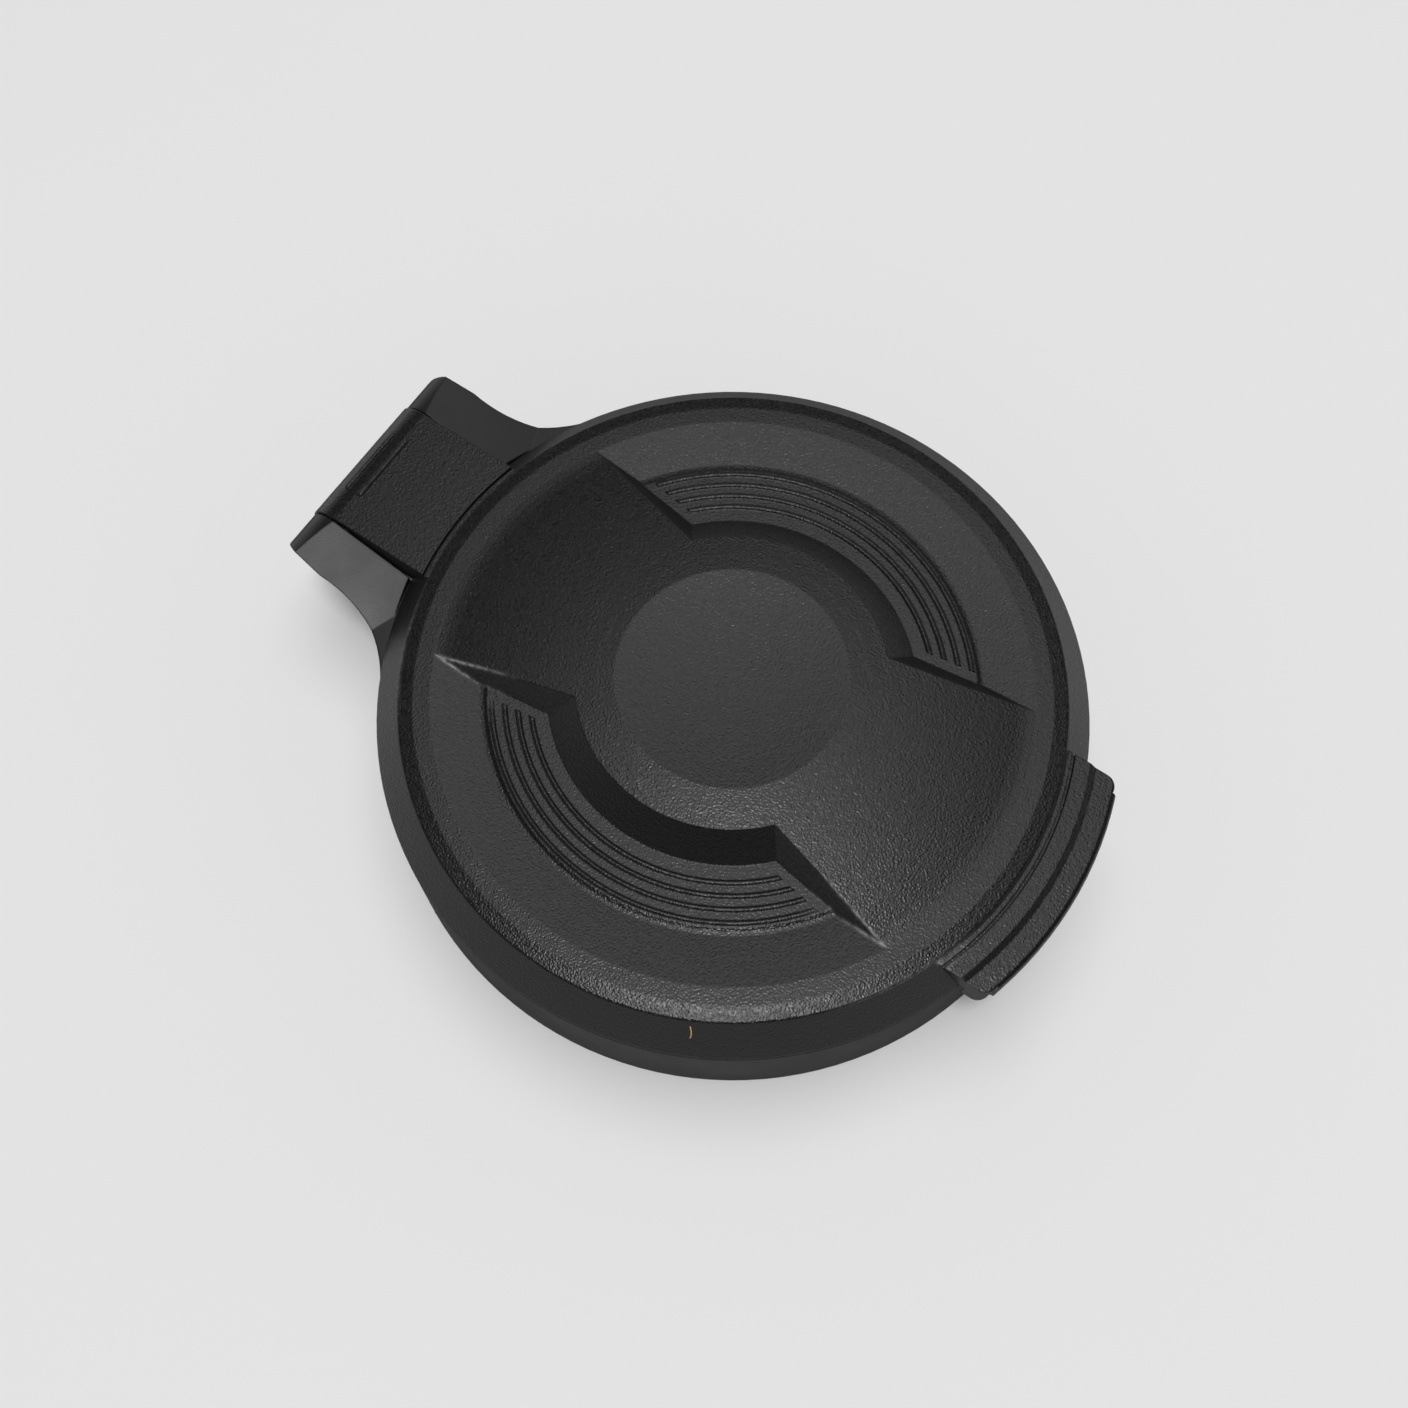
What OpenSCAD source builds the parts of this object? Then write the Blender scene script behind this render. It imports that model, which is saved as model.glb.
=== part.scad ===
// Flip-up lens cap: a hinged lid on a push-on mounting ring.
// The origin is on the ring's axis, in its foot plane. The lens barrel enters from below.
// The hinge lies towards -X and the thumb tab towards +X.

/* [Mounting ring] */
// Diameter of the lens barrel that the ring grips
barrel_d = 60; // [54:0.5:70]
// Wall of the sleeve outside the liner, at the front face
sleeve_wall = 2.3; // [1.8:0.1:3]
// Draft of the sleeve's outside, wider towards the foot, in degrees
sleeve_draft = 3.3; // [0:0.1:4]
// Height from the foot to the front face
ring_h = 10.5; // [10.5:0.5:16]
// Reach of the front flange inside the barrel's outside, on the radius
flange_reach = 2.4; // [1.5:0.1:3]
// Thickness of the front flange that stops the barrel
flange_t = 2.4; // [1.6:0.1:3.5]
// Chamfer on the sleeve's outer edges
sleeve_chamfer = 0.35; // [0.1:0.05:0.6]

/* [Grip liner] */
// Thickness of the rubber liner
liner_t = 0.9; // [0.5:0.1:1.2]
// Gap between the liner's upper end and the flange
liner_end_gap = 0.5; // [0.2:0.1:2]
// Depth of the step in the bore that holds the liner
liner_seat = 0.5; // [0.3:0.1:0.7]

/* [Lid rim] */
// Setback of the skirt's foot from the sleeve's front edge
skirt_setback = 0.05; // [0:0.05:0.3]
// Width of the sloping skirt, seen from above
skirt_w = 2.55; // [2:0.05:3]
// Height of the lid's edge above its underside
rim_h = 3.3; // [2.8:0.1:3.8]
// Width of the band that slopes from the rim's top to the edge
band_w = 1.4; // [0.8:0.1:1.8]
// Height of the rim's top above the lid's edge
rim_rise = 0.18; // [0.1:0.02:0.3]
// Width of the rim's flat top
rim_w = 1.6; // [1.2:0.1:2]
// Gap between the closed lid and the front face
seat_gap = 0.1; // [0.05:0.05:0.3]
// Height of the upright land at the skirt's foot
skirt_land = 0.3; // [0.1:0.05:0.5]
// Radius of the rounding between band and skirt
edge_round = 0.35; // [0.2:0.05:0.5]
// Wall thickness under the face
lid_wall = 1.9; // [1.5:0.1:2.2]
// Radial gap between the plug and the ring's mouth
plug_gap = 0.4; // [0.3:0.05:0.8]
// Thickness of the plug's wall
plug_t = 1.3; // [1:0.1:1.8]
// Depth of the plug below the lid's underside
plug_h = 1.9; // [1:0.1:2]

/* [Lid face] */
// Height of the dish rim above the lid's edge
crown_h = 1.95; // [1.5:0.05:3]
// Diameter of the dish rim
dish_d = 21.3; // [18:0.1:23]
// Depth of the dish
dish_depth = 0.65; // [0.4:0.05:0.9]
// Slope of the raised strip at the dish rim, in degrees; it grows outwards
strip_slope = 4.8; // [3:0.1:5.5]
// Distance from the strip's end to the rim's flat top
strip_run_out = 1.6; // [1:0.1:2]
// Diameter of the hub's upper edge
hub_d = 28.5; // [27:0.1:29]
// Angle of the hub's wall from the horizontal
hub_wall_angle = 37; // [34:1:44]
// Half width of the raised strip in mid-lid, at the level of the lid's edge
strip_half_w = 9.42; // [8.5:0.1:10.5]
// Angle by which each side of the strip spreads outwards
strip_flare = 8.4; // [0:0.2:10]
// Angle of the strip's walls from the horizontal
strip_wall_angle = 46; // [42:1:52]
// Drop of the pocket floor at the hub's foot, below the lid's edge
floor_drop = 0.42; // [0.2:0.02:0.6]
// Drop of the pocket floor at the ribbed zone's outer edge
zone_drop = 0.38; // [0.2:0.02:0.6]
// Depth of the hollow outside the ribbed zone, below the lid's edge
hollow_depth = 0.52; // [0.45:0.01:0.7]

/* [Pocket ribs] */
// Number of ribs in each pocket
rib_count = 4; // [2:1:4]
// Radius of the innermost rib
rib_first_r = 18.5; // [18:0.05:19]
// Distance from rib to rib
rib_pitch = 1.18; // [1:0.02:1.25]
// Width of a rib
rib_w = 0.5; // [0.3:0.05:0.6]
// Height of a rib above the pocket floor
rib_rise = 0.16; // [0.1:0.02:0.24]
// Gap between the rib ends and the foot of the strip's wall
rib_gap = 0.9; // [0.5:0.1:2]

/* [Thumb tab] */
// Width of the tab
tab_w = 23; // [16:0.5:26]
// Thickness of the tab outside the sleeve
tab_t = 2.1; // [1.5:0.1:3]
// Height of the tab, down to its lower edge
tab_h = 4.4; // [4.2:0.1:5.5]
// Drop of the tab's top below the lid's edge
tab_drop = 0.25; // [0.2:0.05:0.4]
// Width of the lower outer part of the tab's top
tab_step_w = 2.75; // [2.2:0.05:3.2]
// Depth of the step down to it
tab_step = 0.3; // [0.1:0.05:0.5]
// Rounding of the tab's upright corners
tab_corner_r = 1.2; // [0.5:0.1:2]
// Radial gap between the tab and the sleeve
tab_gap = 0.4; // [0.35:0.05:0.6]
// Width of the catch bead under the tab
catch_w = 8; // [4:0.5:12]
// Height of the catch bead
catch_h = 0.6; // [0.4:0.1:0.8]
// Height of the sleeve's ledge over the catch notch
catch_ledge = 0.4; // [0.4:0.1:0.8]
// Gap between the catch bead and the sleeve's ledge
catch_gap = 0.08; // [0.06:0.01:0.12]
// Play of the catch bead in its notch
catch_play = 0.15; // [0.1:0.05:0.2]

/* [Grooves] */
// Width of the fine groove that sets off the knuckle and the tab
groove_w = 0.28; // [0.2:0.02:0.4]
// Depth of that groove
groove_depth = 0.45; // [0.2:0.05:0.6]
// Distance of the knuckle's groove from the lid's edge
knuckle_groove = 0.4; // [0.3:0.05:0.6]
// Distance of the tab's groove from the lid's edge
tab_groove = 0.6; // [0.3:0.05:0.8]

/* [Hinge] */
// Distance of the hinge axis from the sleeve's front edge
hinge_reach = 8; // [7.5:0.1:10]
// Outer radius of the hinge barrel
barrel_r = 3.5; // [3.3:0.1:3.8]
// Drop of the knuckle's top below the lid's edge
knuckle_drop = 0.06; // [0.05:0.01:0.1]
// Width of the lid's knuckle
knuckle_w = 14; // [12:0.1:14.4]
// Gap on each side of the knuckle
knuckle_gap = 0.2; // [0.15:0.05:0.35]
// Full width of the hinge at its outer end
hinge_w = 23; // [22:0.1:24.5]
// Drop of the ear's top below the knuckle's top
ear_drop = 0.15; // [0.05:0.05:0.3]
// Fall of the ear's top towards the lid
ear_fall = 16; // [13:0.5:18]
// Fall of the ear's top towards its outer side
ear_side_fall = 6; // [2:0.5:9]
// Inward lean of the ear's outer wall
ear_lean = 16; // [8:1:18]
// Radius of the hollow curve between ear and sleeve
ear_sweep_r = 13.5; // [12:0.5:15]
// Height of the ear's web above the foot, at the sleeve
web_z = 3; // [1:0.2:5]
// Gap between the ear's inner edge and the lid's skirt
ear_gap = 0.25; // [0.2:0.05:0.4]
// Diameter of the hinge pin
pin_d = 2; // [1.6:0.1:2.4]
// Running clearance on the radius between pin and knuckle
pin_clear = 0.04; // [0.02:0.01:0.08]
// Angle from the hinge side at which the ears have run out into the sleeve
ear_reach = 33; // [30:0.5:38]
// Wall left outside the pin in the blind ear
pin_cap = 1.2; // [0.8:0.1:2]

/* [Hinge bars] */
// Length of the two raised bars on the knuckle
bar_l = 7.6; // [4:0.2:10]
// Thickness of a bar
bar_w = 0.64; // [0.4:0.04:0.8]
// Distance between the bars
bar_pitch = 1.65; // [1.2:0.05:1.8]
// Distance of the inner bar from the hinge axis, towards the lid
bar_x = 0.4; // [0:0.05:0.8]

/* [Torsion spring] */
// Diameter of the wire
wire_d = 0.6; // [0.4:0.05:0.65]
// Radius of the coil, measured to the middle of the wire
coil_r = 1.75; // [1.7:0.05:1.9]
// Number of full turns
coil_turns = 7; // [4:1:8]
// Distance from turn to turn
coil_pitch = 0.75; // [0.7:0.01:0.8]
// Wall of the barrel around the spring
spring_wall = 0.9; // [0.8:0.05:1]
// Length of the wire's leg under the knuckle's plate
leg_l = 5; // [3:0.5:5.5]

/* [Lid seal] */
// Distance of the seal's middle from the lid's edge
seal_inset = 1; // [0.7:0.1:1.3]
// Width of the seal
seal_w = 1.3; // [0.8:0.1:1.6]
// Depth of the seal's groove
seal_depth = 1; // [0.6:0.1:1.2]

/* [Hidden] */
$fn = 96;
eps = 0.01;
big = 60;
// Ring: radii and heights
liner_in_r = barrel_d / 2;
liner_out_r = liner_in_r + liner_t;
bore_r = liner_out_r - liner_seat;
mouth_r = liner_in_r - flange_reach;
sleeve_r = liner_out_r + sleeve_wall;
foot_r = sleeve_r + ring_h * tan(sleeve_draft);
shoulder_z = ring_h - flange_t;
liner_h = shoulder_z - liner_end_gap;
// Lid: radii and heights
skirt_r = sleeve_r - skirt_setback;
edge_r = skirt_r - skirt_w;
band_r = edge_r - band_w;
flat_r = band_r - rim_w;
lid_z = ring_h + seat_gap;
edge_z = lid_z + rim_h;
pocket_z = edge_z - lid_wall;
plug_r = mouth_r - plug_gap;
plug_in_r = plug_r - plug_t;
plug_chamfer = 0.3;
skirt_chamfer = 0.15;
seal_r = edge_r - seal_inset;
seal_z = lid_z + seal_depth;
// Raised face
hub_r = hub_d / 2;
dish_r = dish_d / 2;
dish_ball_r = (dish_r * dish_r + dish_depth * dish_depth) / (2 * dish_depth);
strip_end_r = flat_r - strip_run_out;
strip_end_h = rim_rise + 0.1;
strip_l = strip_end_r - dish_r;
strip_bend = (crown_h - strip_end_h - strip_l * tan(strip_slope)) / (strip_l * strip_l);
strip_steps = 8;
hub_foot_r = hub_r + (strip_top(hub_r) + floor_drop) / tan(hub_wall_angle);
rib_zone_r = rib_first_r + (rib_count - 1) * rib_pitch + rib_w / 2 + 0.15;
zone_step_w = 0.35;
// Thumb tab
tab_top_z = edge_z - tab_drop;
tab_in_r = sleeve_r + tab_gap;
tab_r = tab_in_r + tab_t;
tab_step_r = tab_r - tab_step_w;
bead_z = ring_h - catch_ledge - catch_play - catch_h;
notch_depth = 0.4;
notch_side = 0.5;
// Hinge
hinge_x = sleeve_r + hinge_reach;
knuckle_top_z = edge_z - knuckle_drop;
axis_z = knuckle_top_z - barrel_r;
ear_in_y = knuckle_w / 2 + knuckle_gap;
ear_top_z = knuckle_top_z - ear_drop;
ear_barrel_r = ear_top_z - axis_z;
ear_end_x = hinge_x + barrel_r;
ear_chamfer = 0.8;
ear_bury = 4;
pin_l = hinge_w - 2 * pin_cap;
pin_chamfer = 0.25;
// Torsion spring
spring_pocket_r = barrel_r - spring_wall;
coil_l = coil_turns * coil_pitch;
coil_end_y = coil_l - knuckle_w / 2 + 1.6;
tang_l = 3.2;
tang_bend_r = 0.6;
tang_clear = 0.05;
slot_clear = 0.15;

// Height of the raised strip's top above the lid's edge, at a radius outside the dish
function strip_top(r) =
    crown_h - (r - dish_r) * tan(strip_slope) - strip_bend * (r - dish_r) * (r - dish_r);

// Points of an arc in the plane of a revolved section
function arc_points(cx, cz, r, a0, a1, n) =
    [for (i = [0:n]) [cx + r * cos(a0 + (a1 - a0) * i / n), cz + r * sin(a0 + (a1 - a0) * i / n)]];

// Half space above a tilted plane through a point
module above_plane(at, tilt) {
    translate(at)
        rotate(tilt)
            translate([-big, -big, 0])
                cube([2 * big, 2 * big, big]);
}

// A bar along Y with round ends
module round_bar(length, r) {
    rotate([90, 0, 0])
        cylinder(r = r, h = length - 2 * r, center = true, $fn = 32);
    for (side = [-1, 1])
        translate([0, side * (length / 2 - r), 0])
            sphere(r = r, $fn = 32);
}

// A cylinder along the hinge axis, from one y to another
module hinge_cylinder(r, y0, y1) {
    translate([-hinge_x, y1, axis_z])
        rotate([90, 0, 0])
            cylinder(r = r, h = y1 - y0);
}

// The sleeve with its front flange, shoulder and liner pocket
module sleeve_section() {
    c = sleeve_chamfer;
    polygon([
        [liner_out_r, 0],
        [foot_r - c, 0],
        [foot_r, c],
        [sleeve_r, ring_h - c],
        [sleeve_r - c, ring_h],
        [mouth_r + c, ring_h],
        [mouth_r, ring_h - c],
        [mouth_r, shoulder_z],
        [bore_r, shoulder_z],
        [bore_r, liner_h],
        [liner_out_r, liner_h]
    ]);
}

// Outline of one ear seen along its leaning wall
module ear_plan() {
    lean = cos(ear_lean);
    end_y = hinge_w / 2 * lean;
    sweep_x = -hinge_x + 2;
    sweep_y = (hinge_w / 2 + 1) * lean;
    sleeve_x = -sleeve_r * cos(ear_reach);
    sleeve_y = sleeve_r * sin(ear_reach) * lean;
    difference() {
        polygon([
            [-ear_end_x, 0],
            [sleeve_x + ear_bury, 0],
            [sleeve_x + ear_bury, sleeve_y],
            [sleeve_x, sleeve_y],
            [sweep_x, sweep_y + ear_sweep_r],
            [sweep_x, sweep_y],
            [-ear_end_x + ear_chamfer, end_y],
            [-ear_end_x, end_y - ear_chamfer]
        ]);
        translate([sweep_x, sweep_y + ear_sweep_r])
            circle(r = ear_sweep_r);
    }
}

// Side view of an ear: the barrel and the web that runs to the sleeve
module ear_side() {
    bury_x = -sleeve_r * cos(ear_reach) + ear_bury;
    translate([-hinge_x, axis_z])
        circle(r = ear_barrel_r);
    polygon([
        [-hinge_x, axis_z - ear_barrel_r],
        [-sleeve_r, web_z],
        [bury_x, web_z],
        [bury_x, ring_h],
        [-hinge_x + (ear_top_z - ring_h) / tan(ear_fall), ring_h],
        [-hinge_x, ear_top_z]
    ]);
}

// One ear, on the +Y side
module ear() {
    difference() {
        intersection() {
            translate([0, 0, ear_top_z])
                rotate([-ear_lean, 0, 0])
                    translate([0, 0, -big / 2])
                        linear_extrude(height = big)
                            ear_plan();
            translate([0, big / 2 + ear_in_y, 0])
                rotate([90, 0, 0])
                    linear_extrude(height = big / 2)
                        ear_side();
        }
        intersection() {
            above_plane([-hinge_x, ear_in_y, ear_top_z], [-ear_side_fall, ear_fall, 0]);
            translate([-big, 0, ring_h])
                cube([big, big, big]);
        }
        translate([0, 0, ring_h])
            cylinder(r = skirt_r + ear_gap, h = big);
        translate([0, 0, -eps])
            cylinder(r = (bore_r + sleeve_r) / 2, h = big);
    }
}

module mounting_ring() {
    color([0.13, 0.12, 0.12])
        difference() {
            union() {
                rotate_extrude()
                    sleeve_section();
                ear();
                mirror([0, 1, 0])
                    ear();
            }
            hinge_cylinder(pin_d / 2, -hinge_w / 2 + pin_cap, hinge_w);
            tang_hole();
            catch_notch();
        }
}

// Hole in the blind ear for the spring's straight end
module tang_hole() {
    translate([-hinge_x, -ear_in_y + eps, axis_z - coil_r])
        rotate([90, 0, 0])
            cylinder(r = wire_d / 2 + tang_clear, h = tang_l - tang_bend_r, $fn = 32);
}

// Shallow notch in the sleeve below the ledge that the catch bead snaps under
module catch_notch() {
    half = asin((catch_w / 2 + notch_side) / sleeve_r);
    rotate([0, 0, -half])
        rotate_extrude(angle = 2 * half)
            translate([sleeve_r - notch_depth, bead_z - catch_play])
                square([1, catch_h + 2 * catch_play]);
}

module grip_liner() {
    color([0.07, 0.07, 0.07])
        rotate_extrude()
            translate([liner_in_r, 0])
                square([liner_t, liner_h]);
}

// Section of the lid without its raised face: plug, seal groove, skirt, rim and pocket floor
module lid_section() {
    polygon(concat(
        [
            [0, pocket_z],
            [plug_in_r, pocket_z],
            [plug_in_r, lid_z - plug_h],
            [plug_r - plug_chamfer, lid_z - plug_h],
            [plug_r, lid_z - plug_h + plug_chamfer],
            [plug_r, lid_z],
            [seal_r - seal_w / 2, lid_z],
            [seal_r - seal_w / 2, seal_z],
            [seal_r + seal_w / 2, seal_z],
            [seal_r + seal_w / 2, lid_z],
            [skirt_r - skirt_chamfer, lid_z],
            [skirt_r, lid_z + skirt_chamfer],
            [skirt_r, lid_z + skirt_land]
        ],
        arc_points(edge_r - edge_round * 0.6, edge_z - edge_round, edge_round, 40, 82, 4),
        [
            [band_r, edge_z + rim_rise],
            [flat_r, edge_z + rim_rise]
        ],
        hollow_points(),
        [
            [hub_foot_r, edge_z - floor_drop],
            [0, edge_z - floor_drop]
        ]
    ));
}

// The hollow that slopes down from the rim, and the small step up to the ribbed zone
function hollow_points() = [
    [rib_zone_r + 2 * zone_step_w, edge_z - hollow_depth],
    [rib_zone_r + zone_step_w, edge_z - hollow_depth + 0.02],
    [rib_zone_r, edge_z - zone_drop]
];

// Height of the pocket floor at a radius inside the ribbed zone
function pocket_floor_z(r) =
    edge_z - floor_drop + (floor_drop - zone_drop) * (r - hub_foot_r) / (rib_zone_r - hub_foot_r);

// Space beyond the rib ends, on one side of the lid's long axis and for one end
module rib_space(flare) {
    rotate([0, 0, flare])
        translate([-big, strip_half_w * cos(strip_flare) + floor_drop / tan(strip_wall_angle) + rib_gap, 0])
            cube([2 * big, big, big]);
}

// Raised fine ribs, cut off short of the strip's walls
module pocket_ribs() {
    rib_r = (rib_w * rib_w / 4 + rib_rise * rib_rise) / (2 * rib_rise);
    for (side = [0, 1])
        mirror([0, side, 0])
            intersection() {
                rotate_extrude()
                    for (i = [0:rib_count - 1])
                        translate([rib_first_r + i * rib_pitch,
                                   pocket_floor_z(rib_first_r + i * rib_pitch) + rib_rise - rib_r])
                            circle(r = rib_r, $fn = 32);
                rib_space(strip_flare);
                rib_space(-strip_flare);
            }
}

// Top outline of hub and strip, revolved, from a base upwards and lowered by a skin
module crown_section(skin, base_z) {
    run_end_r = strip_end_r + strip_run_out;
    polygon(concat(
        [
            [0, base_z],
            [run_end_r + 0.3, base_z],
            [run_end_r + 0.3, edge_z - 0.6 - skin],
            [run_end_r + 0.1, edge_z + rim_rise - 0.01 - skin],
            [strip_end_r + strip_run_out / 2, edge_z + rim_rise + 0.025 - skin]
        ],
        [for (i = [strip_steps:-1:0])
            let (r = dish_r + strip_l * i / strip_steps)
            [r, edge_z + strip_top(r) - skin]],
        [[0, edge_z + crown_h - skin]]
    ));
}

// Bow-tie block with sloping sides that bounds the strip, drawn in by a skin
module strip_block(skin) {
    low = 4;
    for (turn = [0, 180])
        rotate([0, 0, turn])
            difference() {
                translate([-1, -big, edge_z - low])
                    cube([big, 2 * big, low + crown_h + 1]);
                for (side = [0, 1])
                    mirror([0, side, 0])
                        translate([0, strip_half_w, edge_z])
                            rotate([0, 0, strip_flare])
                                above_plane([0, -skin * sin(strip_wall_angle), -skin * cos(strip_wall_angle)],
                                            [-strip_wall_angle, 0, 0]);
            }
}

// Cone that bounds the hub, drawn in by a skin
module hub_cone(skin) {
    inset = skin / sin(hub_wall_angle);
    low = 4;
    high = 1;
    reach = 1 / tan(hub_wall_angle);
    translate([0, 0, edge_z + strip_top(hub_r) - low])
        cylinder(r1 = hub_r - inset + low * reach, r2 = hub_r - inset - high * reach, h = low + high);
}

// The raised bow-tie face: hub and strip under one sloping top, with the dish cut in
module crown(skin, base_z) {
    difference() {
        intersection() {
            rotate_extrude()
                crown_section(skin, base_z);
            union() {
                strip_block(skin);
                hub_cone(skin);
            }
        }
        translate([0, 0, edge_z + crown_h - dish_depth + dish_ball_r - skin])
            sphere(r = dish_ball_r, $fn = 128);
    }
}

// Core that leaves an even wall under the raised face
module crown_core() {
    intersection() {
        crown(lid_wall, pocket_z - 1);
        translate([0, 0, pocket_z - 1])
            cylinder(r = plug_in_r - 0.6, h = big);
    }
}

// Hinge knuckle: barrel and plate, rooted in the rim above the seal
module knuckle_body() {
    root_x = -edge_r + 0.7;
    low_root_x = -skirt_r + 1.5;
    translate([0, knuckle_w / 2, 0])
        rotate([90, 0, 0])
            linear_extrude(height = knuckle_w) {
                translate([-hinge_x, axis_z])
                    circle(r = barrel_r);
                polygon([
                    [-hinge_x, knuckle_top_z],
                    [-hinge_x, axis_z],
                    [-hinge_x + barrel_r * cos(20), axis_z - barrel_r * sin(20)],
                    [-sleeve_r - 2.6, lid_z],
                    [low_root_x, lid_z],
                    [low_root_x, seal_z + 0.4],
                    [root_x, seal_z + 1],
                    [root_x, knuckle_top_z]
                ]);
            }
}

// Two raised bars near the knuckle's outer end
module knuckle_bars() {
    for (i = [0, 1]) {
        x = bar_x - i * bar_pitch;
        top = axis_z + sqrt(barrel_r * barrel_r - min(x, 0) * min(x, 0));
        translate([-hinge_x + x, 0, top - 0.04])
            round_bar(bar_l, bar_w / 2);
    }
}

// Thumb tab: a curved plate that turns down outside the sleeve
module tab_body() {
    half = asin((tab_w / 2 + 2) / tab_r);
    intersection() {
        rotate([0, 0, -half])
            rotate_extrude(angle = 2 * half)
                polygon([
                    [edge_r + 0.1, tab_top_z],
                    [edge_r + 0.1, lid_z + 0.6],
                    [tab_in_r, lid_z + 0.6],
                    [tab_in_r, tab_top_z - tab_h + 0.25],
                    [tab_in_r + 0.25, tab_top_z - tab_h],
                    [tab_r - 0.35, tab_top_z - tab_h],
                    [tab_r, tab_top_z - tab_h + 0.35],
                    [tab_r, tab_top_z - tab_step - 0.45],
                    [tab_r - 0.18, tab_top_z - tab_step - 0.12],
                    [tab_r - 0.5, tab_top_z - tab_step],
                    [tab_step_r + 0.5, tab_top_z - tab_step],
                    [tab_step_r, tab_top_z]
                ]);
        tab_bounds();
    }
}

// Upright block with rounded outer corners that gives the tab its width
module tab_bounds() {
    corner_x = sqrt(tab_r * tab_r - tab_w * tab_w / 4) - tab_corner_r;
    linear_extrude(height = big) {
        translate([0, -tab_w / 2])
            square([corner_x, tab_w]);
        translate([0, -tab_w / 2 + tab_corner_r])
            square([tab_r + 1, tab_w - 2 * tab_corner_r]);
        for (side = [-1, 1])
            translate([corner_x, side * (tab_w / 2 - tab_corner_r)])
                circle(r = tab_corner_r);
    }
}

// Bead inside the tab that snaps under the sleeve's ledge
module catch_bead() {
    half = asin(catch_w / 2 / sleeve_r);
    tip = sleeve_r + catch_gap;
    rotate([0, 0, -half])
        rotate_extrude(angle = 2 * half)
            polygon([
                [tab_in_r + 0.3, bead_z],
                [tab_in_r + 0.3, bead_z + catch_h],
                [tip, bead_z + catch_h - 0.15],
                [tip, bead_z + 0.25]
            ]);
}

// Fine groove along a circle, kept to one side of the lid
module ring_groove(r, top_z, width, side) {
    intersection() {
        translate([0, 0, top_z - groove_depth])
            difference() {
                cylinder(r = r + groove_w, h = 1);
                translate([0, 0, -1])
                    cylinder(r = r, h = 3);
            }
        translate([side > 0 ? 0 : -big, -width / 2, 0])
            cube([big, width, big]);
    }
}

module lid() {
    color([0.22, 0.22, 0.22])
        difference() {
            union() {
                difference() {
                    union() {
                        rotate_extrude()
                            lid_section();
                        crown(0, pocket_z + 0.4);
                    }
                    crown_core();
                }
                pocket_ribs();
                knuckle_body();
                knuckle_bars();
                tab_body();
                catch_bead();
            }
            hinge_cylinder(pin_d / 2 + pin_clear, -knuckle_w, knuckle_w);
            hinge_cylinder(spring_pocket_r, -knuckle_w, coil_end_y + 0.5);
            leg_slot();
            ring_groove(edge_r + knuckle_groove, knuckle_top_z, knuckle_w, -1);
            ring_groove(edge_r + tab_groove, tab_top_z, tab_w, 1);
        }
}

// Slot in the knuckle's underside for the spring's leg
module leg_slot() {
    translate([-hinge_x, coil_end_y - wire_d / 2 - slot_clear, axis_z - 0.5])
        cube([leg_l + 0.4, wire_d + 2 * slot_clear, coil_r + wire_d / 2 + 0.5 + slot_clear]);
}

module lid_seal() {
    color([0.05, 0.05, 0.05])
        rotate_extrude()
            translate([seal_r - seal_w / 2, ring_h + 0.02])
                square([seal_w, seal_z - ring_h - 0.02]);
}

module hinge_pin() {
    color([0.62, 0.62, 0.63])
        translate([-hinge_x, -hinge_w / 2 + pin_cap, axis_z])
            rotate([-90, 0, 0]) {
                translate([0, 0, pin_chamfer])
                    cylinder(r = pin_d / 2, h = pin_l - pin_chamfer, $fn = 64);
                cylinder(r1 = pin_d / 2 - pin_chamfer, r2 = pin_d / 2, h = pin_chamfer, $fn = 64);
            }
}

// A point of the spring with the outward direction there, from its angle about the axis
function spring_point(angle, y) =
    [[coil_r * cos(angle), y, coil_r * sin(angle)], [cos(angle), 0, sin(angle)]];

// Route of the wire: straight end in the ear, bend, coil, and leg under the plate
function spring_route() =
    let (start_y = coil_end_y - coil_l,
         wind = 360 * (coil_turns + 0.5),
         per_mm = 180 / (PI * coil_r),
         steps = (coil_turns + 0.5) * 16)
    concat(
        [for (i = [0:2])
            spring_point(-90, start_y - tang_bend_r - tang_l + i * tang_l / 2)],
        [for (i = [1:3])
            spring_point(-90 - tang_bend_r * (1 - cos(i * 22.5)) * per_mm,
                         start_y - tang_bend_r + tang_bend_r * sin(i * 22.5))],
        [for (i = [2:steps])
            spring_point(-90 - wind * i / steps, start_y + coil_l * i / steps)],
        [for (i = [1:3])
            [[leg_l * i / 3, coil_end_y, coil_r], [0, 0, 1]]]
    );

function unit(v) = v / norm(v);

module torsion_spring() {
    route = spring_route();
    sides = 8;
    last = len(route) - 1;
    points = [for (i = [0:last])
        let (along = unit(route[min(i + 1, last)][0] - route[max(i - 1, 0)][0]),
             out = unit(route[i][1] - along * (route[i][1] * along)),
             across = cross(along, out))
        for (k = [0:sides - 1])
            route[i][0] + wire_d / 2 * (out * cos(360 * k / sides) + across * sin(360 * k / sides))];
    faces = concat(
        [[for (k = [0:sides - 1]) k]],
        [for (i = [0:last - 1])
            for (k = [0:sides - 1])
                [i * sides + k, (i + 1) * sides + k,
                 (i + 1) * sides + (k + 1) % sides, i * sides + (k + 1) % sides]],
        [[for (k = [sides - 1:-1:0]) last * sides + k]]
    );
    color([0.7, 0.7, 0.72])
        translate([-hinge_x, 0, axis_z])
            polyhedron(points = points, faces = faces, convexity = 10);
}

mounting_ring();
grip_liner();
lid();
lid_seal();
hinge_pin();
torsion_spring();
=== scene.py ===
"""Looks of a flip-up lens cap: camera, floor, light, and the surface of each CAD piece."""
import math
import random

import bpy
from mathutils import Matrix, Vector


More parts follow.
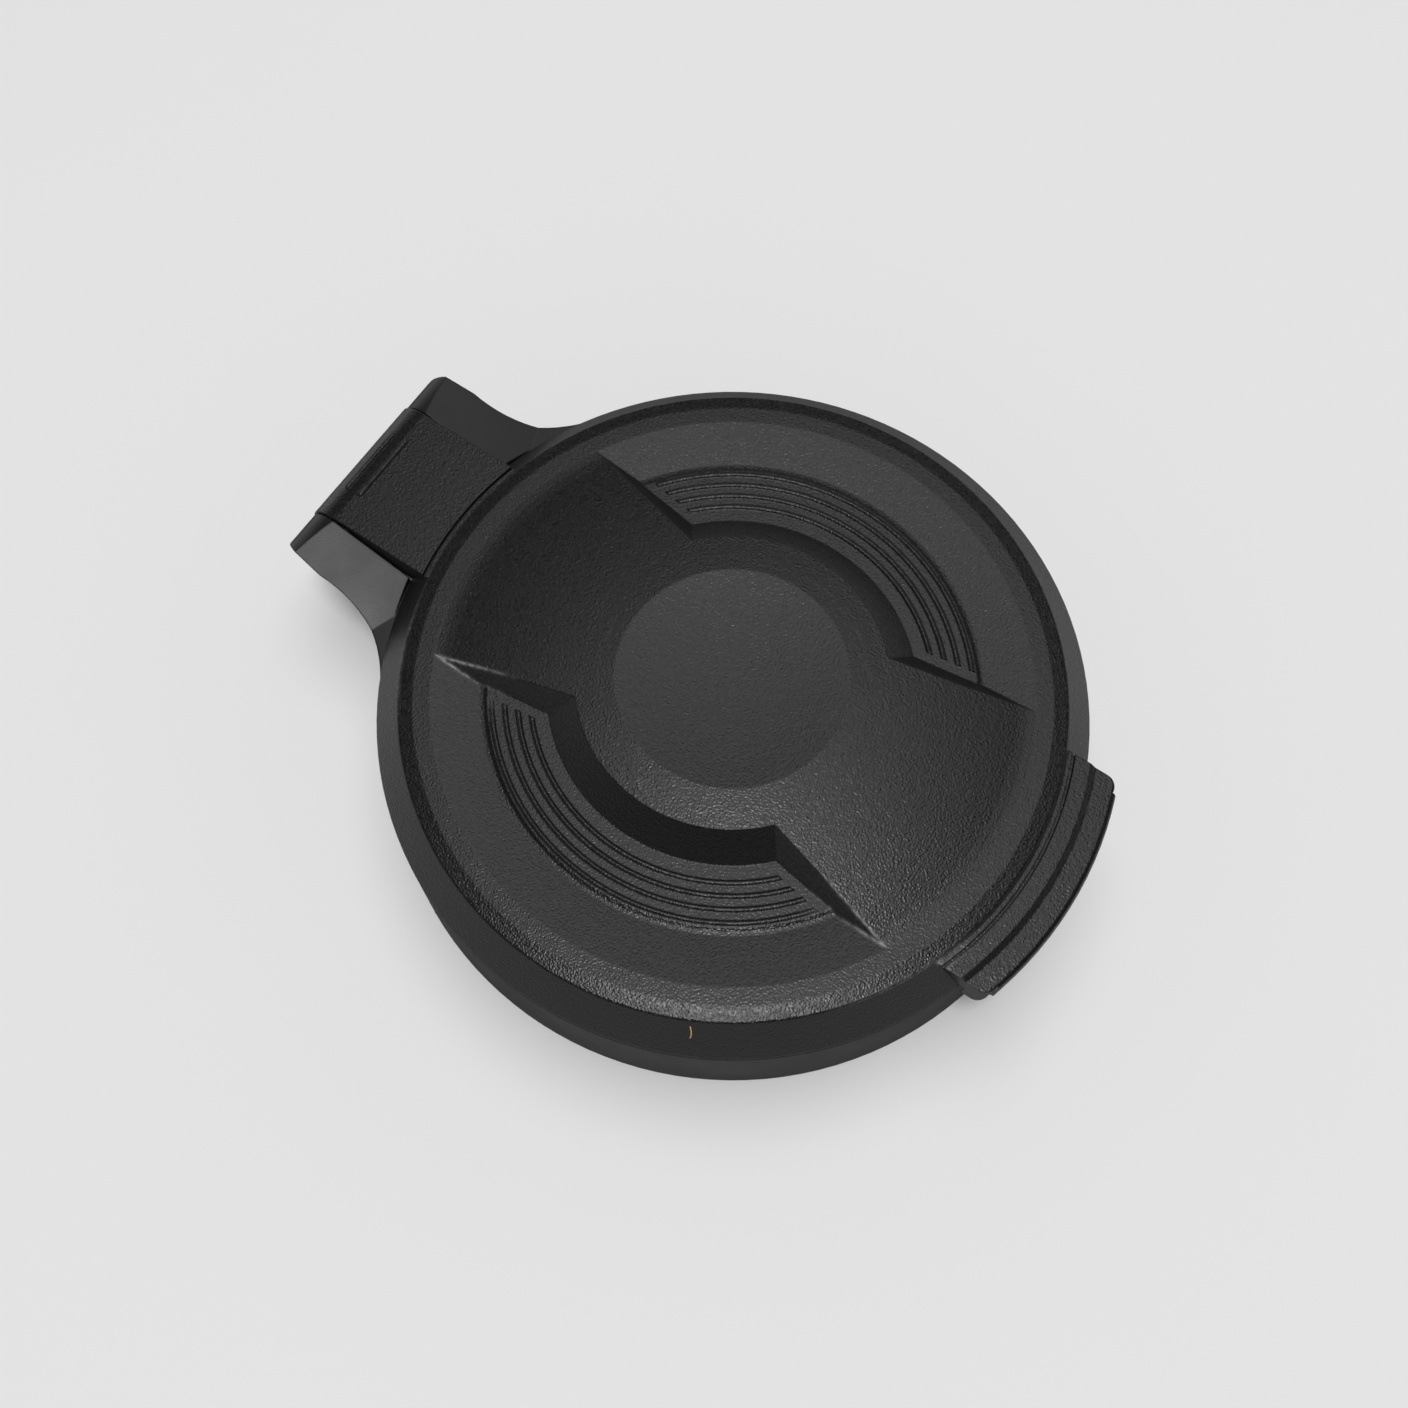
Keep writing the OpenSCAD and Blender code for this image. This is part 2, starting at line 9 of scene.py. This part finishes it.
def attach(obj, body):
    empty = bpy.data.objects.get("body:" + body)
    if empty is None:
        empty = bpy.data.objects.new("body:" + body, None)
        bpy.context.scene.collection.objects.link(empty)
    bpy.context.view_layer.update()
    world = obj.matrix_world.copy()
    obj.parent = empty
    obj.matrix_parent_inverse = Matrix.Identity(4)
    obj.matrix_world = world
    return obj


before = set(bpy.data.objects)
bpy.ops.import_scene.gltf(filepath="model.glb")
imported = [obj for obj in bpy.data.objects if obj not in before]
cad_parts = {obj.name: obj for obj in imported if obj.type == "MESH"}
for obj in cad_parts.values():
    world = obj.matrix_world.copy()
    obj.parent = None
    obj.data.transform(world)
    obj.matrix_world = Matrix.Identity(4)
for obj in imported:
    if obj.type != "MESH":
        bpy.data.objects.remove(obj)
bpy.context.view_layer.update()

MM = 0.001

# Camera, fitted to the photograph: places in metres, angles in degrees
FOCAL_SHARE = 1.0
SENSOR_MM = 36.0
CAMERA_AT = (0.02568, -0.04005, 0.13346)
CAMERA_AZIMUTH = 35.83
CAMERA_ELEVATION = 69.12
CAMERA_ROLL = 1.94

# Painted highlight, partly also rubbed edges: a lighter base colour on the edges where the two
# near strip walls run out. It fades with the distance from the tips, and below these heights, so
# that the underside stays plain
HIGHLIGHT_AND_WEAR_TIPS_MM = ((-23.7, -12.7, 14.5), (23.9, -12.5, 14.5))
HIGHLIGHT_AND_WEAR_REACH_MM = 8.0
HIGHLIGHT_AND_WEAR_FULL_SHARE = 0.4
HIGHLIGHT_AND_WEAR_ABOVE_MM = (13.3, 13.8)
HIGHLIGHT_AND_WEAR_WIDTH_MM = 0.5
HIGHLIGHT_AND_WEAR_PATCH_MM = 0.6
HIGHLIGHT_AND_WEAR_LEVEL = 0.4
# Cosines between the true and the rounded normal, on plain surface and on an edge
PLAIN_COSINE = 0.995
EDGE_COSINE = 0.93

# A thread of lint on the lid's skirt: its start (radius, height), length and half thickness,
# how far it wanders sideways and lifts off, and the skirt's slope under it
LINT_ANGLE = math.radians(-62.9)
LINT_AT_MM = (30.95, 13.45)
LINT_LONG_MM = 1.3
LINT_THICK_MM = 0.05
LINT_SIDE_MM = 0.16
LINT_CURL = 2.6
LINT_JITTER_MM = 0.01
LINT_LIFT_MM = 0.12
LINT_STEPS = 14
LINT_SIDES = 8
SKIRT_RUN_MM = 2.55
SKIRT_FALL_MM = 3.3

# Levels of the studio, in linear light
BACKDROP_LEVEL = 0.79
CEILING_LEVEL = 0.05
CEILING_FROM = 0.1
CEILING_FULL = 0.6
FLOOR_LEVEL = 0.9
FLOOR_CLOUD_MM = 40.0
# Half the floor's side, and the gap that keeps it off the ring's foot, in metres
FLOOR_HALF = 0.32
FLOOR_GAP = 0.00003

# Lamps: azimuth and elevation in degrees, distance and diameter in metres, power in watts
SOFT_BOX = (203.0, 74.0, 1.0, 0.84, 3.5)
KEY = (30.0, 79.0, 1.0, 0.3, 4.4)

# Moulded skins: sizes and depths of their grain, in mm
LID_GRAIN_MM = 0.17
LID_GRAIN_DEPTH_MM = 0.034
LID_PEBBLE_MM = 0.35
LID_PEBBLE_DEPTH_MM = 0.008
LID_SPECK_MM = 0.3
LID_CLOUD_MM = 7.0
LID_EDGE_MM = 0.18
RING_GRAIN_MM = 0.16
RING_GRAIN_DEPTH_MM = 0.012
RING_CLOUD_MM = 5.0
RING_EDGE_MM = 0.2
RUBBER_GRAIN_MM = 0.3
RUBBER_GRAIN_DEPTH_MM = 0.02
DRAW_MARK_MM = 0.12


def new_material(name):
    """An empty node material, with its tree, its principled shader and its texture coordinates."""
    material = bpy.data.materials.new(name)
    material.use_nodes = True
    tree = material.node_tree
    tree.nodes.clear()
    out = tree.nodes.new("ShaderNodeOutputMaterial")
    shader = tree.nodes.new("ShaderNodeBsdfPrincipled")
    tree.links.new(shader.outputs["BSDF"], out.inputs["Surface"])
    place = tree.nodes.new("ShaderNodeTexCoord").outputs["Object"]
    return material, tree, shader, place


def noise(tree, place, grain_mm, detail=2.0, roughness=0.5):
    """Noise whose grains are about grain_mm across."""
    node = tree.nodes.new("ShaderNodeTexNoise")
    node.inputs["Scale"].default_value = 1.0 / (grain_mm * MM)
    node.inputs["Detail"].default_value = detail
    node.inputs["Roughness"].default_value = roughness
    tree.links.new(place, node.inputs["Vector"])
    return node.outputs["Fac"]


def spread(tree, value, from_low, from_high, to_low, to_high):
    """Maps one range of values to another, and stops at its ends."""
    node = tree.nodes.new("ShaderNodeMapRange")
    node.inputs["From Min"].default_value = from_low
    node.inputs["From Max"].default_value = from_high
    node.inputs["To Min"].default_value = to_low
    node.inputs["To Max"].default_value = to_high
    tree.links.new(value, node.inputs["Value"])
    return node.outputs["Result"]


def tint(tree, value, low, high):
    """A colour between two, by a value from 0 to 1."""
    node = tree.nodes.new("ShaderNodeMix")
    node.data_type = "RGBA"
    node.inputs["A"].default_value = (*low, 1)
    node.inputs["B"].default_value = (*high, 1)
    tree.links.new(value, node.inputs["Factor"])
    return node.outputs["Result"]


def bump(tree, height, depth_mm, strength=1.0, under=None):
    """A bump of that depth, over an earlier normal if there is one."""
    node = tree.nodes.new("ShaderNodeBump")
    node.inputs["Strength"].default_value = strength
    node.inputs["Distance"].default_value = depth_mm * MM
    tree.links.new(height, node.inputs["Height"])
    if under is not None:
        tree.links.new(under, node.inputs["Normal"])
    return node.outputs["Normal"]


def soft_edges(tree, radius_mm):
    """A normal that rounds the sharp edges by that radius."""
    node = tree.nodes.new("ShaderNodeBevel")
    node.samples = 6
    node.inputs["Radius"].default_value = radius_mm * MM
    return node.outputs["Normal"]


def dull_at_grazing(tree, rough):
    """Roughness that grows where the surface is seen at a flat angle, as a grained skin's does."""
    weight = tree.nodes.new("ShaderNodeLayerWeight")
    weight.inputs["Blend"].default_value = 0.5
    more = spread(tree, weight.outputs["Facing"], 0.55, 0.95, 0.0, 0.55)
    total = tree.nodes.new("ShaderNodeMath")
    total.operation = "ADD"
    tree.links.new(rough, total.inputs[0])
    tree.links.new(more, total.inputs[1])
    return total.outputs["Value"]


def near_point(tree, place, point_mm, reach_mm):
    """1 near that point of the object, falling to 0 at the reach."""
    gap = tree.nodes.new("ShaderNodeVectorMath")
    gap.operation = "DISTANCE"
    gap.inputs[1].default_value = [c * MM for c in point_mm]
    tree.links.new(place, gap.inputs[0])
    return spread(tree, gap.outputs["Value"], HIGHLIGHT_AND_WEAR_FULL_SHARE * reach_mm * MM, reach_mm * MM, 1, 0)


def arithmetic(tree, operation, first, second):
    """One sum, product or larger value of two values."""
    node = tree.nodes.new("ShaderNodeMath")
    node.operation = operation
    for value, socket in zip((first, second), node.inputs):
        if isinstance(value, (int, float)):
            socket.default_value = value
        else:
            tree.links.new(value, socket)
    return node.outputs["Value"]


def sharp_edge(tree, radius_mm):
    """1 on a sharp edge, 0 on plain surface."""
    turned = tree.nodes.new("ShaderNodeVectorMath")
    turned.operation = "DOT_PRODUCT"
    tree.links.new(soft_edges(tree, radius_mm), turned.inputs[0])
    tree.links.new(tree.nodes.new("ShaderNodeNewGeometry").outputs["Normal"], turned.inputs[1])
    return spread(tree, turned.outputs["Value"], PLAIN_COSINE, EDGE_COSINE, 0, 1)


def grained_plastic():
    """Black plastic from a spark-eroded mould: matt, with a fine sparkle."""
    material, tree, shader, place = new_material("grained_plastic")
    grain = noise(tree, place, LID_GRAIN_MM, 0.0)
    pebble = noise(tree, place, LID_PEBBLE_MM, 1.0)
    cloud = noise(tree, place, LID_CLOUD_MM, 2.0)
    speck = noise(tree, place, LID_SPECK_MM, 0.0)
    skin = tint(tree, cloud, (0.0045, 0.0045, 0.0048), (0.0065, 0.0065, 0.0069))
    # Painted highlight, partly also rubbed edges: a lighter base colour on the sharp edges near
    # the two near strip tips
    spots = [near_point(tree, place, tip, HIGHLIGHT_AND_WEAR_REACH_MM) for tip in HIGHLIGHT_AND_WEAR_TIPS_MM]
    tips = arithmetic(tree, "MAXIMUM", *spots)
    split = tree.nodes.new("ShaderNodeSeparateXYZ")
    tree.links.new(place, split.inputs["Vector"])
    outer = spread(tree, split.outputs["Z"], HIGHLIGHT_AND_WEAR_ABOVE_MM[0] * MM, HIGHLIGHT_AND_WEAR_ABOVE_MM[1] * MM, 0, 1)
    highlight_and_wear = arithmetic(tree, "MULTIPLY", tips, outer)
    highlight_and_wear = arithmetic(tree, "MULTIPLY", highlight_and_wear, sharp_edge(tree, HIGHLIGHT_AND_WEAR_WIDTH_MM))
    patches = spread(tree, noise(tree, place, HIGHLIGHT_AND_WEAR_PATCH_MM, 3.0), 0.35, 0.6, 0.3, 1)
    highlight_and_wear = arithmetic(tree, "MULTIPLY", highlight_and_wear, patches)
    highlight_and_wear_colour = tint(tree, highlight_and_wear, (0, 0, 0), (HIGHLIGHT_AND_WEAR_LEVEL,) * 3)
    tree.links.new(skin, highlight_and_wear_colour.node.inputs["A"])
    tree.links.new(highlight_and_wear_colour, shader.inputs["Base Color"])
    rough = spread(tree, speck, 0.5, 0.75, 0.3, 0.22)
    tree.links.new(dull_at_grazing(tree, rough), shader.inputs["Roughness"])
    shader.inputs["Specular IOR Level"].default_value = 0.33
    normal = bump(tree, pebble, LID_PEBBLE_DEPTH_MM, 1.0, soft_edges(tree, LID_EDGE_MM))
    normal = bump(tree, grain, LID_GRAIN_DEPTH_MM, 1.0, normal)
    tree.links.new(normal, shader.inputs["Normal"])
    return material


def satin_plastic():
    """Black plastic from a smoother mould, with a satin sheen."""
    material, tree, shader, place = new_material("satin_plastic")
    grain = noise(tree, place, RING_GRAIN_MM)
    cloud = noise(tree, place, RING_CLOUD_MM, 3.0)
    skin = tint(tree, cloud, (0.007, 0.007, 0.007), (0.011, 0.010, 0.010))
    tree.links.new(skin, shader.inputs["Base Color"])
    rough = spread(tree, cloud, 0.3, 0.7, 0.32, 0.4)
    tree.links.new(dull_at_grazing(tree, rough), shader.inputs["Roughness"])
    shader.inputs["Specular IOR Level"].default_value = 0.3
    normal = bump(tree, grain, RING_GRAIN_DEPTH_MM, 0.6, soft_edges(tree, RING_EDGE_MM))
    tree.links.new(normal, shader.inputs["Normal"])
    return material


def rubber(name, level):
    """Matt black rubber with a fine uneven skin."""
    material, tree, shader, place = new_material(name)
    grain = noise(tree, place, RUBBER_GRAIN_MM, 4.0, 0.6)
    low = (level * 0.8, level * 0.8, level * 0.8)
    high = (level * 1.3, level * 1.28, level * 1.25)
    tree.links.new(tint(tree, grain, low, high), shader.inputs["Base Color"])
    tree.links.new(spread(tree, grain, 0.3, 0.7, 0.72, 0.9), shader.inputs["Roughness"])
    tree.links.new(bump(tree, grain, RUBBER_GRAIN_DEPTH_MM, 0.5), shader.inputs["Normal"])
    return material


def drawn_steel(name, level, along):
    """Bare steel with fine marks drawn out along one axis."""
    material, tree, shader, place = new_material(name)
    mapping = tree.nodes.new("ShaderNodeMapping")
    mapping.inputs["Scale"].default_value = along
    tree.links.new(place, mapping.inputs["Vector"])
    marks = noise(tree, mapping.outputs["Vector"], DRAW_MARK_MM, 3.0, 0.6)
    low = (level * 0.85, level * 0.85, level * 0.87)
    high = (level, level, level * 1.01)
    tree.links.new(tint(tree, marks, low, high), shader.inputs["Base Color"])
    tree.links.new(spread(tree, marks, 0.3, 0.7, 0.22, 0.38), shader.inputs["Roughness"])
    shader.inputs["Metallic"].default_value = 1.0
    return material


def dress(node, material):
    """Gives a CAD node its one material."""
    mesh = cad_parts[node].data
    mesh.materials.clear()
    mesh.materials.append(material)


def dress_all():
    """Materials of all six CAD nodes."""
    dress("lid", grained_plastic())
    dress("mounting_ring", satin_plastic())
    dress("grip_liner", rubber("liner_rubber", 0.02))
    dress("lid_seal", rubber("seal_rubber", 0.024))
    dress("hinge_pin", drawn_steel("pin_steel", 0.6, (1, 0.1, 1)))
    dress("torsion_spring", drawn_steel("spring_steel", 0.55, (0.3, 1, 0.3)))


def fibre():
    """A short thread of lint that lies on the lid's skirt, below the near edge."""
    out = Vector((math.cos(LINT_ANGLE), math.sin(LINT_ANGLE), 0))
    across = Vector((-out.y, out.x, 0))
    down = (out * SKIRT_RUN_MM - Vector((0, 0, SKIRT_FALL_MM))).normalized()
    lift = across.cross(down).normalized()
    if lift.z < 0:
        lift = -lift
    start = out * LINT_AT_MM[0] + Vector((0, 0, LINT_AT_MM[1]))
    line = []
    for i in range(LINT_STEPS + 1):
        t = i / LINT_STEPS
        jitter = random.uniform(-LINT_JITTER_MM, LINT_JITTER_MM)
        side = LINT_SIDE_MM * math.sin(LINT_CURL * t) + jitter
        high = LINT_THICK_MM + LINT_LIFT_MM * math.sin(math.pi * t) ** 2
        line.append(start + down * (t * LINT_LONG_MM) + across * side + lift * high)
    points, faces = [], []
    for i, at in enumerate(line):
        along = (line[min(i + 1, LINT_STEPS)] - line[max(i - 1, 0)]).normalized()
        first = along.cross(lift).normalized()
        second = along.cross(first)
        for k in range(LINT_SIDES):
            a = 2 * math.pi * k / LINT_SIDES
            spoke = first * math.cos(a) + second * math.sin(a)
            points.append((at + spoke * LINT_THICK_MM) * MM)
    for i in range(LINT_STEPS):
        for k in range(LINT_SIDES):
            n = (k + 1) % LINT_SIDES
            ring, after = i * LINT_SIDES, (i + 1) * LINT_SIDES
            faces.append((ring + k, ring + n, after + n, after + k))
    faces.append(tuple(reversed(range(LINT_SIDES))))
    faces.append(tuple(range(LINT_STEPS * LINT_SIDES, (LINT_STEPS + 1) * LINT_SIDES)))
    mesh = bpy.data.meshes.new("lint_fibre")
    mesh.from_pydata(points, [], faces)
    thread = bpy.data.objects.new("lint_fibre", mesh)
    bpy.context.scene.collection.objects.link(thread)
    material, tree, shader, place = new_material("lint")
    streak = noise(tree, place, 0.1, 2.0)
    pale_orange = tint(tree, streak, (0.5, 0.26, 0.1), (0.8, 0.5, 0.27))
    tree.links.new(pale_orange, shader.inputs["Base Color"])
    shader.inputs["Roughness"].default_value = 0.8
    mesh.materials.append(material)
    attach(thread, "lid")


def direction(azimuth, elevation):
    """Unit vector from the object towards a point at those angles."""
    a, e = math.radians(azimuth), math.radians(elevation)
    return Vector((math.sin(a) * math.cos(e), -math.cos(a) * math.cos(e), math.sin(e)))


def camera():
    """The camera at the photograph's place and angle."""
    data = bpy.data.cameras.new("camera")
    data.sensor_width = SENSOR_MM
    data.lens = SENSOR_MM * FOCAL_SHARE
    data.clip_start, data.clip_end = 0.005, 10
    back = direction(CAMERA_AZIMUTH, CAMERA_ELEVATION)
    a, roll = math.radians(CAMERA_AZIMUTH), math.radians(CAMERA_ROLL)
    right_0 = Vector((math.cos(a), math.sin(a), 0))
    up_0 = back.cross(right_0)
    right = math.cos(roll) * right_0 - math.sin(roll) * up_0
    up = math.sin(roll) * right_0 + math.cos(roll) * up_0
    turned = Matrix((right, up, back)).transposed().to_4x4()
    cam = bpy.data.objects.new("camera", data)
    bpy.context.scene.collection.objects.link(cam)
    cam.matrix_world = Matrix.Translation(CAMERA_AT) @ turned
    bpy.context.scene.camera = cam


def floor():
    """A plain pale table top just under the ring's foot, see-through from below."""
    half, z = FLOOR_HALF, -FLOOR_GAP
    mesh = bpy.data.meshes.new("floor")
    corners = [(-half, -half, z), (half, -half, z), (half, half, z), (-half, half, z)]
    mesh.from_pydata(corners, [], [(0, 1, 2, 3)])
    plane = bpy.data.objects.new("floor", mesh)
    bpy.context.scene.collection.objects.link(plane)
    material, tree, shader, place = new_material("pale_floor")
    cloud = noise(tree, place, FLOOR_CLOUD_MM)
    level = FLOOR_LEVEL
    pale = tint(tree, cloud, (level * 0.99,) * 3, (level,) * 3)
    tree.links.new(pale, shader.inputs["Base Color"])
    shader.inputs["Roughness"].default_value = 0.9
    below = tree.nodes.new("ShaderNodeMixShader")
    from_below = tree.nodes.new("ShaderNodeNewGeometry").outputs["Backfacing"]
    tree.links.new(from_below, below.inputs["Fac"])
    tree.links.new(shader.outputs["BSDF"], below.inputs[1])
    clear = tree.nodes.new("ShaderNodeBsdfTransparent")
    tree.links.new(clear.outputs["BSDF"], below.inputs[2])
    tree.links.new(below.outputs["Shader"], tree.nodes["Material Output"].inputs["Surface"])
    mesh.materials.append(material)


def lamp(name, azimuth, elevation, distance, diameter, watts):
    """A round soft lamp that faces the object."""
    data = bpy.data.lights.new(name, "AREA")
    data.shape = "DISK"
    data.size = diameter
    data.energy = watts
    back = direction(azimuth, elevation)
    made = bpy.data.objects.new(name, data)
    bpy.context.scene.collection.objects.link(made)
    made.location = back * distance
    made.rotation_mode = "QUATERNION"
    made.rotation_quaternion = (-back).to_track_quat("-Z", "Y")


def surroundings():
    """A plain studio: pale backdrop all round, and a darker ceiling."""
    world = bpy.data.worlds.new("studio")
    bpy.context.scene.world = world
    world.use_nodes = True
    tree = world.node_tree
    tree.nodes.clear()
    out = tree.nodes.new("ShaderNodeOutputWorld")
    room = tree.nodes.new("ShaderNodeBackground")
    tree.links.new(room.outputs["Background"], out.inputs["Surface"])
    place = tree.nodes.new("ShaderNodeTexCoord").outputs["Generated"]
    height = tree.nodes.new("ShaderNodeSeparateXYZ")
    tree.links.new(place, height.inputs["Vector"])
    share = spread(tree, height.outputs["Z"], CEILING_FROM, CEILING_FULL, 0, 1)
    shade = tint(tree, share, (BACKDROP_LEVEL,) * 3, (CEILING_LEVEL,) * 3)
    tree.links.new(shade, room.inputs["Color"])


random.seed(7)
bpy.context.scene.view_settings.view_transform = "Standard"
dress_all()
fibre()
floor()
lamp("soft_box", *SOFT_BOX)
lamp("key", *KEY)
surroundings()
camera()
